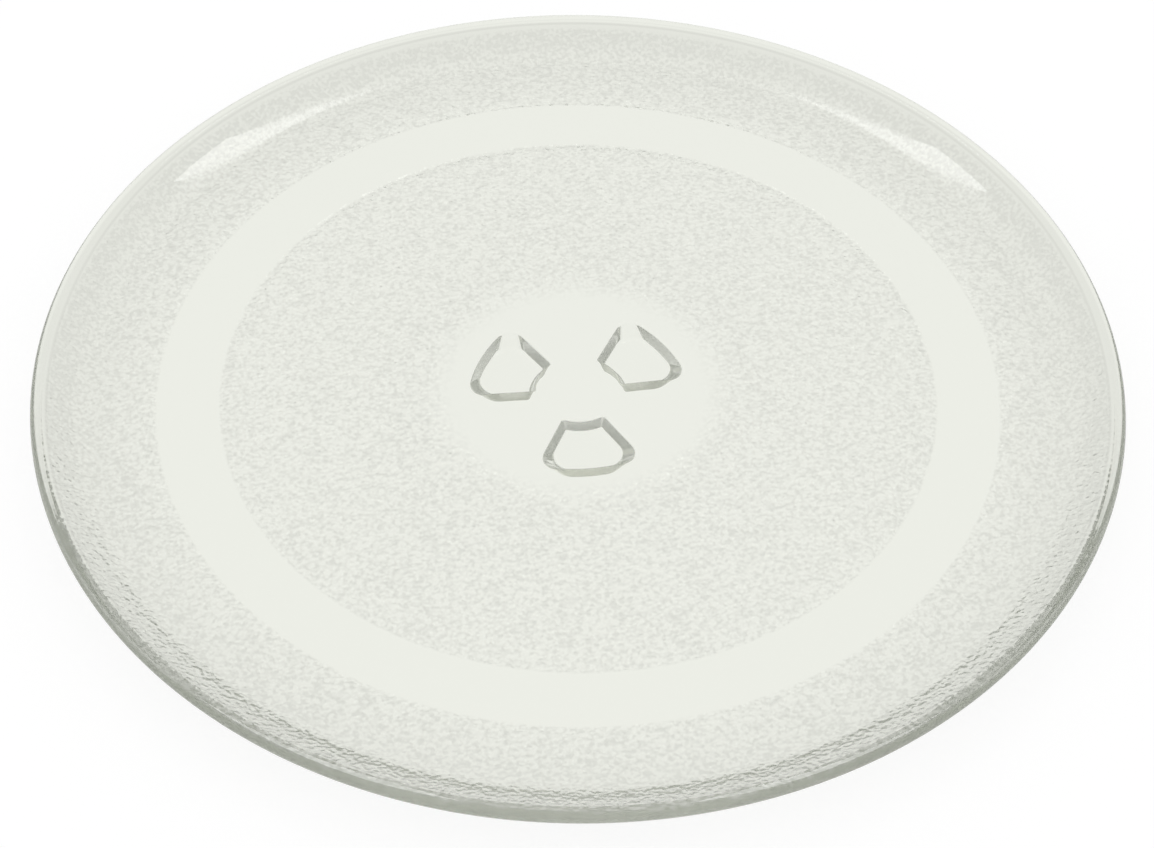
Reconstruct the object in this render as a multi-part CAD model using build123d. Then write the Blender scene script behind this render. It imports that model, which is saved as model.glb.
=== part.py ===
from build123d import *
import math
import os

# Glass turntable plate pressed in one piece. Sizes in millimetres.
# The axis of rotation is Z, and z = 0 is the plane of the lug tips.

# dish and rim
plate_diameter = 245.0
floor_thickness = 4.3        # at the roller track
rim_height = 8.3             # top of the lip above the roller track
lip_width = 2.7              # flat top of the lip, from its inner edge to the plate's edge
lip_outer_round = 1.4
lip_inner_round = 0.8
wall_width = 16.5            # from the end of the flat floor to the plate's edge
foot_bend = 14.0             # tight bend where the wall leaves the floor
foot_slope = 13.0            # degrees, at the end of the tight bend
under_slope = 28.5           # degrees, the cone under the rim
under_bend = 9.0             # bend between the flat underside and the cone

# smooth band under the floor that the rollers run on
track_inset = 34.5           # from the middle of the band to the plate's edge
track_width = 15.6
track_step = 0.2             # how far the band stands below the pebbled field
track_edge = 1.2             # run of the slope at each side of the band

# three lugs under the middle that the drive coupler turns
lug_count = 3
lug_height = 4.1
lug_inner_radius = 9.9
lug_outer_radius = 24.0
lug_end_bow = 35.0           # radius of the outer end
lug_inner_width = 9.2        # across the two inner corners
lug_side_angle = 28.3        # degrees between a side wall and the lug's middle line
lug_draft = 14.5             # degrees, each wall
lug_inner_corner = 0.7
lug_outer_corner = 3.1
lug_tip_radius = 0.6
first_lug_angle = -90.0

track_z = lug_height
field_z = track_z + track_step
floor_top_z = track_z + floor_thickness
lip_top_z = track_z + rim_height


# outer edge of the lip, and the cone and bend under the rim that run into it
cone = math.radians(under_slope)
lip_r = plate_diameter / 2 - lip_outer_round
lip_z = lip_top_z - lip_outer_round
outer_r = lip_r + lip_outer_round * math.sin(cone)
outer_z = lip_z - lip_outer_round * math.cos(cone)
cone_z = field_z + under_bend * (1 - math.cos(cone))
cone_r = outer_r - (outer_z - cone_z) / math.tan(cone)
under_r = cone_r - under_bend * math.sin(cone)

# the inside wall leaves the floor in a tight bend, then a slow one runs into the lip's inner edge
foot = math.radians(foot_slope)
well_r = plate_diameter / 2 - wall_width
land_r = plate_diameter / 2 - lip_width
foot_r = well_r + foot_bend * math.sin(foot)
foot_z = floor_top_z + foot_bend * (1 - math.cos(foot))
wall_run = land_r - foot_r
wall_rise = lip_top_z - lip_inner_round - foot_z
wall_reach = lip_inner_round - wall_run * math.sin(foot) + wall_rise * math.cos(foot)
wall_bend = (wall_run**2 + wall_rise**2 - lip_inner_round**2) / (2 * wall_reach)
wall = math.asin((wall_run + wall_bend * math.sin(foot)) / (wall_bend + lip_inner_round))


def under_point(angle):
    return (under_r + under_bend * math.sin(angle), field_z + under_bend * (1 - math.cos(angle)))


def lip_point(angle):
    return (lip_r + lip_outer_round * math.cos(angle), lip_z + lip_outer_round * math.sin(angle))


def edge_point(angle):
    return (land_r - lip_inner_round * math.sin(angle), lip_top_z - lip_inner_round * (1 - math.cos(angle)))


def foot_point(angle):
    return (well_r + foot_bend * math.sin(angle), floor_top_z + foot_bend * (1 - math.cos(angle)))


def wall_point(angle):
    run = wall_bend * (math.sin(angle) - math.sin(foot))
    rise = wall_bend * (math.cos(foot) - math.cos(angle))
    return (foot_r + run, foot_z + rise)


track_r = plate_diameter / 2 - track_inset
track_in = track_r - track_width / 2
track_out = track_r + track_width / 2

with BuildSketch(Plane.XZ) as section:
    with BuildLine():
        Polyline(
            (0, floor_top_z),
            (0, field_z),
            (track_in - track_edge, field_z),
            (track_in, track_z),
            (track_out, track_z),
            (track_out + track_edge, field_z),
            (under_r, field_z),
        )
        ThreePointArc((under_r, field_z), under_point(cone / 2), (cone_r, cone_z))
        Line((cone_r, cone_z), (outer_r, outer_z))
        ThreePointArc((outer_r, outer_z), lip_point(cone / 2), (lip_r, lip_top_z))
        Line((lip_r, lip_top_z), (land_r, lip_top_z))
        ThreePointArc((land_r, lip_top_z), edge_point(wall / 2), edge_point(wall))
        ThreePointArc(edge_point(wall), wall_point((wall + foot) / 2), (foot_r, foot_z))
        ThreePointArc((foot_r, foot_z), foot_point(foot / 2), (well_r, floor_top_z))
        Line((well_r, floor_top_z), (0, floor_top_z))
    make_face()

dish = revolve(section.sketch, axis=Axis.Z)


# one lug with its middle line along X: a drafted wedge between two drafted cones
lug_margin = field_z * math.tan(math.radians(lug_draft))
side = math.radians(lug_side_angle)
half_inner = lug_inner_width / 2
inner_x = math.sqrt(lug_inner_radius**2 - half_inner**2)


def wedge_outline(margin, z):
    # the side walls are set in by the margin, the ends run past the cones
    near_x = lug_inner_radius / 2
    far_x = lug_outer_radius + lug_outer_corner
    shift = half_inner - math.tan(side) * inner_x - margin / math.cos(side)
    near_y = shift + math.tan(side) * near_x
    far_y = shift + math.tan(side) * far_x
    return make_face(
        Polyline(
            (near_x, near_y, z),
            (far_x, far_y, z),
            (far_x, -far_y, z),
            (near_x, -near_y, z),
            close=True,
        )
    )


from_tip = (Align.CENTER, Align.CENTER, Align.MIN)
wedge = loft([wedge_outline(lug_margin, 0), wedge_outline(0, field_z)])
outer_end = Cone(lug_end_bow - lug_margin, lug_end_bow, field_z, align=from_tip)
outer_end = outer_end.moved(Location((lug_outer_radius - lug_end_bow, 0, 0)))
inner_end = Cone(lug_inner_radius + lug_margin, lug_inner_radius, field_z, align=from_tip)
lug = (wedge & outer_end) - inner_end

upright = lug.edges().filter_by(lambda e: e.bounding_box().size.Z > field_z / 2)
lug_middle = (lug_inner_radius + lug_outer_radius) / 2
lug = lug.fillet(lug_outer_corner, upright.filter_by(lambda e: e.center().X > lug_middle))
upright = lug.edges().filter_by(lambda e: e.bounding_box().size.Z > field_z / 2)
lug = lug.fillet(lug_inner_corner, upright.filter_by(lambda e: e.center().X < lug_inner_radius))
tip_edges = lug.edges().group_by(Axis.Z)[0]
lug = lug.fillet(lug_tip_radius, tip_edges)

plate = dish
for index in range(lug_count):
    angle = first_lug_angle + index * 360 / lug_count
    plate = plate + lug.moved(Location((0, 0, 0), (0, 0, angle)))

os.makedirs("parts", exist_ok=True)
export_step(plate.solid(), "parts/turntable_plate.step")
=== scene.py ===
import math

import bpy
from mathutils import Matrix, Vector
from mathutils.geometry import delaunay_2d_cdt


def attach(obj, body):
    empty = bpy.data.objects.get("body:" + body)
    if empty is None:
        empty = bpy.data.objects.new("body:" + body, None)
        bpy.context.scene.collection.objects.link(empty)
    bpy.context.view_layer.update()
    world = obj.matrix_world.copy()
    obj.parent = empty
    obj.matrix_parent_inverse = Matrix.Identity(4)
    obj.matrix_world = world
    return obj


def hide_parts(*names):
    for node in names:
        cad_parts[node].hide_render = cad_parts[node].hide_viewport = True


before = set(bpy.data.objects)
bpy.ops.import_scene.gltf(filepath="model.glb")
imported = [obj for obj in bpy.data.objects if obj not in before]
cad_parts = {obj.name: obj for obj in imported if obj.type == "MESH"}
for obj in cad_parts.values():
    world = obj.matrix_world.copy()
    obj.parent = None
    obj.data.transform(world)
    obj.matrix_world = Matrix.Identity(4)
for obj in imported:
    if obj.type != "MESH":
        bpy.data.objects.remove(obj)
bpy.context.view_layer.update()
mm = 0.001
quarter = math.pi / 2


# the plate, sizes in millimetres
plate = dict(
    radius=122.5,
    lipRound=1.4,            # outer edge of the lip
    lipEdge=0.8,             # its inner edge
    landStart=119.8,         # the flat top of the lip starts here
    wellStart=106.0,         # the flat inside ends here
    footSlope=13.0,          # degrees at the end of the tight bend by the floor
    footBend=14.0,
    underSlope=28.5,         # degrees of the cone under the rim
    underBend=9.0,
    trackZ=4.1,
    trackStep=0.2,           # it stands this far below the pebbled field
    trackEdge=1.2,           # width of the slope beside it
    trackMid=88.0,
    trackWidth=15.6,
    floor=4.3,               # thickness above the track
    rim=8.3,                 # height of the lip above the track
    coreRadius=26.6,         # the lugs stand inside this circle
    # where it is pebbled, matt or darkened by painted shade
    pebbleMatt=0.2,
    pebbleFrom=(27.0, 36.0),
    pebbleTo=(119.0, 120.4),
    pebbleOver=(0.3, 1.0),   # it runs on over the edges of the track
    outerShade=0.32,         # painted shade: the ring outside the track is a little darker
    outerFull=101.0,
    coneShade=0.58,          # and more painted shade up the cone
    coneReach=(113.0, 117.0),
    creaseMid=118.85,        # painted shade: a thin dark line below the lip
    creaseReach=(0.15, 0.4),
    creaseShade=0.5,
    coveMatt=0.09,           # the bend inside shows the lamps softly
    coveReach=(105.5, 107.5, 112.0, 114.5),
    # how finely the section is cut
    around=480,
    coreRings=12,
    coreStep=0.9,
    fieldRings=(45.0, 60.0),
    wellRings=(1.0, 2.0, 3.0),
    topRing=60.0,
    guard=0.6,               # a ring this near an edge keeps the flat beside it flat
    bendGuard=1.5,
    bendCuts=16,
    coneCuts=15,
    lipCuts=18,
    edgeCuts=8,
    wallCuts=15,
    creaseCuts=2,            # so many of the wall's cuts, next to the lip, are made finer
    finer=4,
    footCuts=12,
    weld=1e-6,
)
lug = dict(
    inner=9.9,
    outer=24.0,
    endBow=35.0,             # radius of the outer end
    innerWidth=9.2,
    side=28.3,               # degrees of the side walls off the middle line
    draft=14.5,
    tipZ=0.0,
    innerCorner=0.7,
    outerCorner=3.1,
    cornerGrow=1.5,          # how much rounder the outer corners are at the tip
    root=0.5,
    tip=0.6,
    margin=0.35,             # flat ring beside each fillet
    wallMatt=0.25,
    cornerMatt=0.04,         # the rounded outer corners came out of the mould clearer
    clearRings=3,            # rings at the root and at the tip that stay clear
    rootCuts=5,
    tipCuts=6,
    innerCuts=8,
    innerCornerCuts=6,
    outerCornerCuts=12,
    endCuts=10,
    angles=(-90.0, 30.0, 150.0),
)


def arcPoints(cx, cy, r, a0, a1, n):
    turns = [a0 + (a1 - a0) * k / n for k in range(n + 1)]
    return [(cx + r * math.cos(a), cy + r * math.sin(a)) for a in turns]


# 0 below lo, 1 above hi, smooth between
def ramp(x, lo, hi):
    k = min(max((x - lo) / (hi - lo), 0.0), 1.0)
    return k * k * (3 - 2 * k)


# plan of one lug at a set-in of d, the same number of points at every d; down is 1 at the tip
def lugOutline(d, down):
    a = math.radians(lug["side"])
    half = lug["innerWidth"] / 2
    x0 = math.sqrt(lug["inner"] ** 2 - half ** 2)
    shift = half - math.tan(a) * x0 - d / math.cos(a)

    # a corner of this radius touches the side wall and an end arc about cx
    def cornerCentre(rad, reach, cx):
        s = shift - rad / math.cos(a)
        t = math.tan(a)
        qa, qb, qc = 1 + t * t, t * s - cx, s * s + cx * cx - reach * reach
        x = (-qb + math.sqrt(qb * qb - qa * qc)) / qa
        return x, s + t * x

    rIn, rOut = lug["inner"] + d, lug["endBow"] - d
    mid = lug["outer"] - lug["endBow"]
    q, p = lug["innerCorner"], lug["outerCorner"] + lug["cornerGrow"] * down
    ix, iy = cornerCentre(q, rIn + q, 0.0)
    ox, oy = cornerCentre(p, rOut - p, mid)
    iAng, oAng = math.atan2(iy, ix), math.atan2(oy, ox - mid)
    wall = a + quarter
    upper = arcPoints(0, 0, rIn, 0.0, iAng, lug["innerCuts"])[:-1]
    upper += arcPoints(ix, iy, q, iAng + math.pi, wall, lug["innerCornerCuts"])
    clearFrom = len(upper)
    upper += arcPoints(ox, oy, p, wall, oAng, lug["outerCornerCuts"])
    clearTo = len(upper)
    upper += arcPoints(mid, 0, rOut, oAng, 0.0, lug["endCuts"])[1:]
    clear = [clearFrom < k < clearTo - 1 for k in range(len(upper))]
    return upper + [(x, -y) for x, y in reversed(upper[1:-1])], clear + clear[-2:0:-1]


# set-in and height of each ring from the floor down to the tip
def lugRings(rootZ):
    a = math.radians(lug["draft"])
    f, t = lug["root"], lug["tip"]
    h = rootZ - lug["tipZ"]
    reach = math.tan((quarter - a) / 2)
    rings = [(-f * reach - lug["margin"], 0.0)]
    for k in range(lug["rootCuts"] + 1):
        b = (quarter - a) * k / lug["rootCuts"]
        rings.append((-f * reach + f * math.sin(b), f * (1 - math.cos(b))))
    foot = h * math.tan(a) + t * reach
    for k in range(lug["tipCuts"] + 1):
        b = (quarter - a) * (1 - k / lug["tipCuts"])
        rings.append((foot - t * math.sin(b), h - t * (1 - math.cos(b))))
    rings.append((foot + lug["margin"], h))
    return [(d, rootZ - z) for d, z in rings]


def level(radii, z, kind):
    return [(r, z, kind) for r in radii]


def tagged(points, kind):
    return [(r, z, kind) for r, z in points]


# half section from the core circle under the floor round the lip to the middle of the top
def plateSection():
    trackZ = plate["trackZ"]
    fieldZ = trackZ + plate["trackStep"]
    topZ = trackZ + plate["floor"]
    lipZ = trackZ + plate["rim"]
    guard = plate["guard"]

    # under the rim: a bend, a cone and the round of the lip
    underS, bend, lr = math.radians(plate["underSlope"]), plate["underBend"], plate["lipRound"]
    cr, cz = plate["radius"] - lr, lipZ - lr
    outR, outZ = cr + lr * math.sin(underS), cz - lr * math.cos(underS)
    coneZ = fieldZ + bend * (1 - math.cos(underS))
    coneR = outR - (outZ - coneZ) / math.tan(underS)
    underR = coneR - bend * math.sin(underS)

    # inside: a tight bend by the floor, then a slow one that runs into the lip's inner edge
    footS, foot, wellR = math.radians(plate["footSlope"]), plate["footBend"], plate["wellStart"]
    q, landR = plate["lipEdge"], plate["landStart"]
    footR, footZ = wellR + foot * math.sin(footS), topZ + foot * (1 - math.cos(footS))
    run, rise = landR - footR, lipZ - q - footZ
    lean = q - run * math.sin(footS) + rise * math.cos(footS)
    wall = (run ** 2 + rise ** 2 - q ** 2) / (2 * lean)
    wallS = math.asin((run + wall * math.sin(footS)) / (wall + q))
    wallR, wallZ = footR - wall * math.sin(footS), footZ + wall * math.cos(footS)

    t0 = plate["trackMid"] - plate["trackWidth"] / 2
    t1 = plate["trackMid"] + plate["trackWidth"] / 2
    e = plate["trackEdge"]
    p0, p1 = plate["pebbleOver"]
    core = [plate["coreRadius"] + k * plate["coreStep"] for k in range(plate["coreRings"])]
    pts = level([*core, *plate["fieldRings"], t0 - e - guard, t0 - e], fieldZ, "pebble")
    pts += level((t0, t0 + p0), trackZ, "pebble")
    pts += level((t0 + p1, t0 + p1 + guard, t1 - p1 - guard, t1 - p1), trackZ, "plain")
    pts += level((t1 - p0, t1), trackZ, "pebble")
    pts += level((t1 + e, t1 + e + guard, underR - plate["bendGuard"]), fieldZ, "pebble")
    underBend = arcPoints(underR, fieldZ + bend, bend, -quarter, underS - quarter, plate["bendCuts"])
    pts += tagged(underBend, "pebble")
    for k in range(1, plate["coneCuts"]):
        part = k / plate["coneCuts"]
        pts.append((coneR + (outR - coneR) * part, coneZ + (outZ - coneZ) * part, "pebble"))
    pts += tagged(arcPoints(cr, cz, lr, underS - quarter, quarter, plate["lipCuts"]), "plain")
    pts += tagged(arcPoints(landR, lipZ - q, q, quarter, quarter + wallS, plate["edgeCuts"]), "plain")
    fine, cuts = plate["creaseCuts"], plate["wallCuts"]
    creaseS = wallS + (footS - wallS) * fine / cuts
    upperWall = arcPoints(wallR, wallZ, wall, wallS - quarter, creaseS - quarter, fine * plate["finer"])
    lowerWall = arcPoints(wallR, wallZ, wall, creaseS - quarter, footS - quarter, cuts - fine)
    pts += tagged(upperWall[1:] + lowerWall[1:-1], "wall")
    footBend = arcPoints(wellR, topZ + foot, foot, footS - quarter, -quarter, plate["footCuts"])
    pts += tagged(footBend, "plain")
    pts += level([wellR - d for d in plate["wellRings"]] + [plate["topRing"]], topZ, "plain")
    return pts, fieldZ, topZ


# how pebbled and how matt the section is at radius r, and how much painted shade it takes
def sectionLook(r, kind):
    if kind == "pebble":
        pebble = ramp(r, *plate["pebbleFrom"]) * (1 - ramp(r, *plate["pebbleTo"]))
        trackEnd = plate["trackMid"] + plate["trackWidth"] / 2
        # painted shade on the ring outside the track and more of it up the cone
        paintedShade = plate["outerShade"] * ramp(r, trackEnd, plate["outerFull"])
        paintedShade += (plate["coneShade"] - plate["outerShade"]) * ramp(r, *plate["coneReach"])
        return pebble, pebble * plate["pebbleMatt"], paintedShade
    start, full, fade, end = plate["coveReach"]
    matt = plate["coveMatt"] * ramp(r, start, full) * (1 - ramp(r, fade, end))
    paintedShade = 0.0
    if kind == "wall":
        # painted shade: a thin dark line on the wall below the lip's inner edge
        paintedShade = plate["creaseShade"] * (1 - ramp(abs(r - plate["creaseMid"]), *plate["creaseReach"]))
    return 0.0, matt, paintedShade


def inside(p, loop):
    odd = False
    for a, b in zip(loop, loop[1:] + loop[:1]):
        if (a.y > p.y) != (b.y > p.y) and p.x < a.x + (b.x - a.x) * (p.y - a.y) / (b.y - a.y):
            odd = not odd
    return odd


# faces between two rings of n points that start at a and b
def ringFaces(a, b, n):
    return [(a + k, a + (k + 1) % n, b + (k + 1) % n, b + k) for k in range(n)]


def makePlate():
    n = plate["around"]
    verts, looks, faces = [], [], []

    # floor, rim and lip, turned about the axis
    section, fieldZ, topZ = plateSection()
    for r, z, kind in section:
        for k in range(n):
            a = 2 * math.pi * k / n
            verts.append((r * math.cos(a), r * math.sin(a), z))
        looks += [sectionLook(r, kind)] * n
    for j in range(len(section) - 1):
        faces += ringFaces(j * n, (j + 1) * n, n)
    last = (len(section) - 1) * n
    verts.append((0.0, 0.0, topZ))
    looks.append((0.0, 0.0, 0.0))
    for k in range(n):
        faces.append((last + k, last + (k + 1) % n, len(verts) - 1))

    # lugs, ring by ring
    flat = [Vector(v[:2]) for v in verts[:n]]
    flatIds = list(range(n))
    loops = [(0, n)]
    rings = lugRings(fieldZ)
    bare = lug["clearRings"]
    for ang in lug["angles"]:
        c, s = math.cos(math.radians(ang)), math.sin(math.radians(ang))
        first = len(verts)
        for j, (d, z) in enumerate(rings):
            outline, clear = lugOutline(d, (fieldZ - z) / (fieldZ - lug["tipZ"]))
            matted = bare <= j < len(rings) - bare
            for (x, y), corner in zip(outline, clear):
                verts.append((x * c - y * s, x * s + y * c, z))
                matt = lug["cornerMatt"] if corner else lug["wallMatt"]
                looks.append((0.0, matt if matted else 0.0, 0.0))
        count = len(outline)
        loops.append((len(flat), count))
        flat += [Vector(v[:2]) for v in verts[first:first + count]]
        flatIds += range(first, first + count)
        for j in range(len(rings) - 1):
            faces += ringFaces(first + j * count, first + (j + 1) * count, count)
        tip = first + (len(rings) - 1) * count
        faces.append(tuple(range(tip, tip + count)))

    # the flat between the lugs
    edges = []
    for start, count in loops:
        edges += [(start + k, start + (k + 1) % count) for k in range(count)]
    hullFill = 0    # triangles over the whole outline
    made = delaunay_2d_cdt(flat, edges, [], hullFill, plate["weld"])
    spots, tiles, origins = made[0], made[2], made[3]
    ids = [flatIds[o[0]] for o in origins]
    holes = [flat[start:start + count] for start, count in loops[1:]]
    for f in tiles:
        mid = sum((spots[i] for i in f), Vector((0, 0))) / len(f)
        if not any(inside(mid, h) for h in holes):
            faces.append(tuple(ids[i] for i in f))

    mesh = bpy.data.meshes.new("plateGlass")
    mesh.from_pydata([(x * mm, y * mm, z * mm) for x, y, z in verts], [], faces)
    for name, values in zip(("pebble", "matt", "paintedShade"), zip(*looks)):
        layer = mesh.attributes.new(name, "FLOAT", "POINT")
        layer.data.foreach_set("value", values)
    obj = bpy.data.objects.new("plateGlass", mesh)
    bpy.context.collection.objects.link(obj)
    bpy.context.view_layer.objects.active = obj
    obj.select_set(True)
    bpy.ops.object.mode_set(mode="EDIT")
    bpy.ops.mesh.select_all(action="SELECT")
    bpy.ops.mesh.normals_make_consistent(inside=False)
    bpy.ops.object.mode_set(mode="OBJECT")
    obj.select_set(False)
    mesh.polygons.foreach_set("use_smooth", [True] * len(mesh.polygons))
    mesh.update()
    return obj


plateObj = makePlate()
print("plate mesh", len(plateObj.data.vertices), len(plateObj.data.polygons))


# clear glass with the pressed pebble under the floor
glass = dict(
    ior=1.52,
    clear=(0.935, 0.95, 0.88, 1.0),
    tint=(0.55, 0.6, 0.48, 1.0),
    density=3.0,
    pebbleScale=0.9,         # cells per millimetre
    pebbleTwist=0.3,
    pebbleDepth=0.00017,     # metres
    shade=0.7,               # the darkest the painted shade takes the glass colour
    # painted shade of the pebble: noise that darkens the glass colour
    pebbleShadeScale=1.05,
    pebbleShadeTwist=0.4,
    pebbleShadeReach=(0.2, 0.65),
    pebbleShadeAmount=0.88,
)


def newMaterial(name):
    mat = bpy.data.materials.new(name)
    mat.use_nodes = True
    nodes = mat.node_tree.nodes
    nodes.clear()
    return mat, nodes, mat.node_tree.links


# each term is a socket or a number
def mathNode(nodes, links, operation, *terms):
    node = nodes.new("ShaderNodeMath")
    node.operation = operation
    for socket, term in zip(node.inputs, terms):
        if isinstance(term, float):
            socket.default_value = term
        else:
            links.new(term, socket)
    return node.outputs[0]


def pointValue(nodes, name):
    node = nodes.new("ShaderNodeAttribute")
    node.attribute_name = name
    return node.outputs["Fac"]


def softNoise(nodes, links, place, scale, twist):
    node = nodes.new("ShaderNodeTexNoise")
    node.inputs["Scale"].default_value = scale
    node.inputs["Detail"].default_value = 0.0
    node.inputs["Distortion"].default_value = twist
    links.new(place, node.inputs["Vector"])
    return node.outputs["Fac"]


def makeGlass():
    mat, nodes, links = newMaterial("pressedGlass")
    out = nodes.new("ShaderNodeOutputMaterial")
    bsdf = nodes.new("ShaderNodeBsdfPrincipled")
    bsdf.inputs["Base Color"].default_value = glass["clear"]
    bsdf.inputs["Metallic"].default_value = 0.0
    bsdf.inputs["IOR"].default_value = glass["ior"]
    bsdf.inputs["Transmission Weight"].default_value = 1.0
    links.new(bsdf.outputs["BSDF"], out.inputs["Surface"])
    vol = nodes.new("ShaderNodeVolumeAbsorption")
    vol.inputs["Color"].default_value = glass["tint"]
    vol.inputs["Density"].default_value = glass["density"]
    links.new(vol.outputs["Volume"], out.inputs["Volume"])

    coord = nodes.new("ShaderNodeTexCoord")
    toMm = nodes.new("ShaderNodeVectorMath")
    toMm.operation = "SCALE"
    toMm.inputs["Scale"].default_value = 1 / mm
    links.new(coord.outputs["Object"], toMm.inputs[0])
    place = toMm.outputs[0]
    mask = pointValue(nodes, "pebble")
    links.new(pointValue(nodes, "matt"), bsdf.inputs["Roughness"])

    # fine painted shade over the pebble, standing in for the light and dark of its relief, none where
    # the mask is 0
    pebbleShadeNoise = softNoise(nodes, links, place, glass["pebbleShadeScale"], glass["pebbleShadeTwist"])
    spread = nodes.new("ShaderNodeMapRange")
    low, high = glass["pebbleShadeReach"]
    spread.inputs["From Min"].default_value = low
    spread.inputs["From Max"].default_value = high
    spread.inputs["To Min"].default_value = glass["pebbleShadeAmount"]
    spread.inputs["To Max"].default_value = 0.0
    links.new(pebbleShadeNoise, spread.inputs["Value"])
    dark = mathNode(nodes, links, "MULTIPLY", spread.outputs["Result"], mask)
    darkness = mathNode(nodes, links, "ADD", dark, pointValue(nodes, "paintedShade"))
    # painted shade: the glass colour darkens by the pebble's painted shade plus the painted shade of
    # the outer ring, the cone and the line below the lip
    shade = nodes.new("ShaderNodeMix")
    shade.data_type = "RGBA"
    shade.inputs["A"].default_value = glass["clear"]
    shade.inputs["B"].default_value = tuple(c * glass["shade"] for c in glass["clear"][:3]) + (1.0,)
    links.new(darkness, shade.inputs["Factor"])
    links.new(shade.outputs["Result"], bsdf.inputs["Base Color"])

    # its relief
    wrinkle = softNoise(nodes, links, place, glass["pebbleScale"], glass["pebbleTwist"])
    bump = nodes.new("ShaderNodeBump")
    bump.inputs["Strength"].default_value = 1.0
    bump.inputs["Distance"].default_value = glass["pebbleDepth"]
    links.new(mathNode(nodes, links, "MULTIPLY", wrinkle, mask), bump.inputs["Height"])
    links.new(bump.outputs["Normal"], bsdf.inputs["Normal"])
    return mat


plateObj.data.materials.append(makeGlass())
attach(plateObj, "root")
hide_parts("turntable_plate")
print("glass done")


# pale floor and studio light, in metres
stage = dict(
    floorSize=60.0,
    floorDrop=0.0001,
    floorTone=0.25,          # beside the plate it takes shadows
    floorLift=0.85,
    floorUnder=0.935,        # through the glass it only glows
    world=0.6,
    lampPower=0.2,
    lampSize=(0.22, 0.09),
    lampSpot=(0.192, 0.58, 1.055),
    turn=-7.3,               # degrees of the lamps and the camera about the plate's axis
    floorBounces=1,
    glassBounces=44,         # light stays in the rim for many turns
)

bpy.ops.mesh.primitive_plane_add(size=stage["floorSize"], location=(0, 0, -stage["floorDrop"]))
floorObj = bpy.context.object
floorObj.name = "floor"
floorMat, nodes, links = newMaterial("paleFloor")
out = nodes.new("ShaderNodeOutputMaterial")
rays = nodes.new("ShaderNodeLightPath").outputs
direct = rays["Is Camera Ray"]
glassy = mathNode(nodes, links, "MAXIMUM", rays["Is Glossy Ray"], rays["Is Transmission Ray"])
tone = nodes.new("ShaderNodeBsdfDiffuse")
links.new(mathNode(nodes, links, "MULTIPLY", direct, stage["floorTone"]), tone.inputs["Color"])
bare = mathNode(nodes, links, "MULTIPLY", direct, stage["floorLift"])
under = mathNode(nodes, links, "MULTIPLY", glassy, stage["floorUnder"])
lift = nodes.new("ShaderNodeEmission")
links.new(mathNode(nodes, links, "ADD", bare, under), lift.inputs["Strength"])
both = nodes.new("ShaderNodeAddShader")
links.new(tone.outputs[0], both.inputs[0])
links.new(lift.outputs[0], both.inputs[1])
side = nodes.new("ShaderNodeNewGeometry")
clearBelow = nodes.new("ShaderNodeBsdfTransparent")
oneWay = nodes.new("ShaderNodeMixShader")    # seen from below the floor is open
links.new(side.outputs["Backfacing"], oneWay.inputs["Fac"])
links.new(both.outputs[0], oneWay.inputs[1])
links.new(clearBelow.outputs[0], oneWay.inputs[2])
links.new(oneWay.outputs[0], out.inputs["Surface"])
floorObj.data.materials.append(floorMat)


def turned(v):
    return Matrix.Rotation(math.radians(stage["turn"]), 3, "Z") @ Vector(v)


for sideName, sx in (("Left", -1), ("Right", 1)):
    data = bpy.data.lights.new("softbox" + sideName, "AREA")
    data.shape = "RECTANGLE"
    data.size, data.size_y = stage["lampSize"]
    data.energy = stage["lampPower"]
    lamp = bpy.data.objects.new("softbox" + sideName, data)
    lx, ly, lz = stage["lampSpot"]
    lamp.location = turned((sx * lx, ly, lz))
    lamp.rotation_euler = (-lamp.location).to_track_quat("-Z", "Y").to_euler()
    bpy.context.collection.objects.link(lamp)

world = bpy.data.worlds.new("studio")
bpy.context.scene.world = world
world.use_nodes = True
sky = world.node_tree.nodes["Background"]
sky.inputs["Color"].default_value = (1, 1, 1, 1)
sky.inputs["Strength"].default_value = stage["world"]
bpy.context.scene.view_settings.view_transform = "Standard"
cyc = bpy.context.scene.cycles
cyc.diffuse_bounces = stage["floorBounces"]
cyc.max_bounces = stage["glassBounces"]
cyc.transmission_bounces = stage["glassBounces"]
cyc.glossy_bounces = stage["glassBounces"]
print("stage done")


# the camera looks down at the plate from the front
shot = dict(
    elevation=47.77,
    roll=0.70,
    distance=0.724,
    aim=(-0.0002, -0.0108, 0.0062),
    focal=3235.0,            # in pixels of the photo
    photoWidth=1154,
    sensor=36.0,
)

e, r = math.radians(shot["elevation"]), math.radians(shot["roll"])
back = Vector((0, -math.cos(e), math.sin(e)))
right = Vector((1, 0, 0))
up = Vector((0, math.sin(e), math.cos(e)))
right, up = math.cos(r) * right + math.sin(r) * up, -math.sin(r) * right + math.cos(r) * up
eye = turned(Vector(shot["aim"]) + back * shot["distance"])
cam = bpy.data.cameras.new("camera")
cam.sensor_width = shot["sensor"]
cam.lens = shot["focal"] * shot["sensor"] / shot["photoWidth"]
camObj = bpy.data.objects.new("camera", cam)
axes = Matrix((turned(right), turned(up), turned(back))).transposed()
camObj.matrix_world = Matrix.Translation(eye) @ axes.to_4x4()
bpy.context.collection.objects.link(camObj)
bpy.context.scene.camera = camObj
print("camera done")
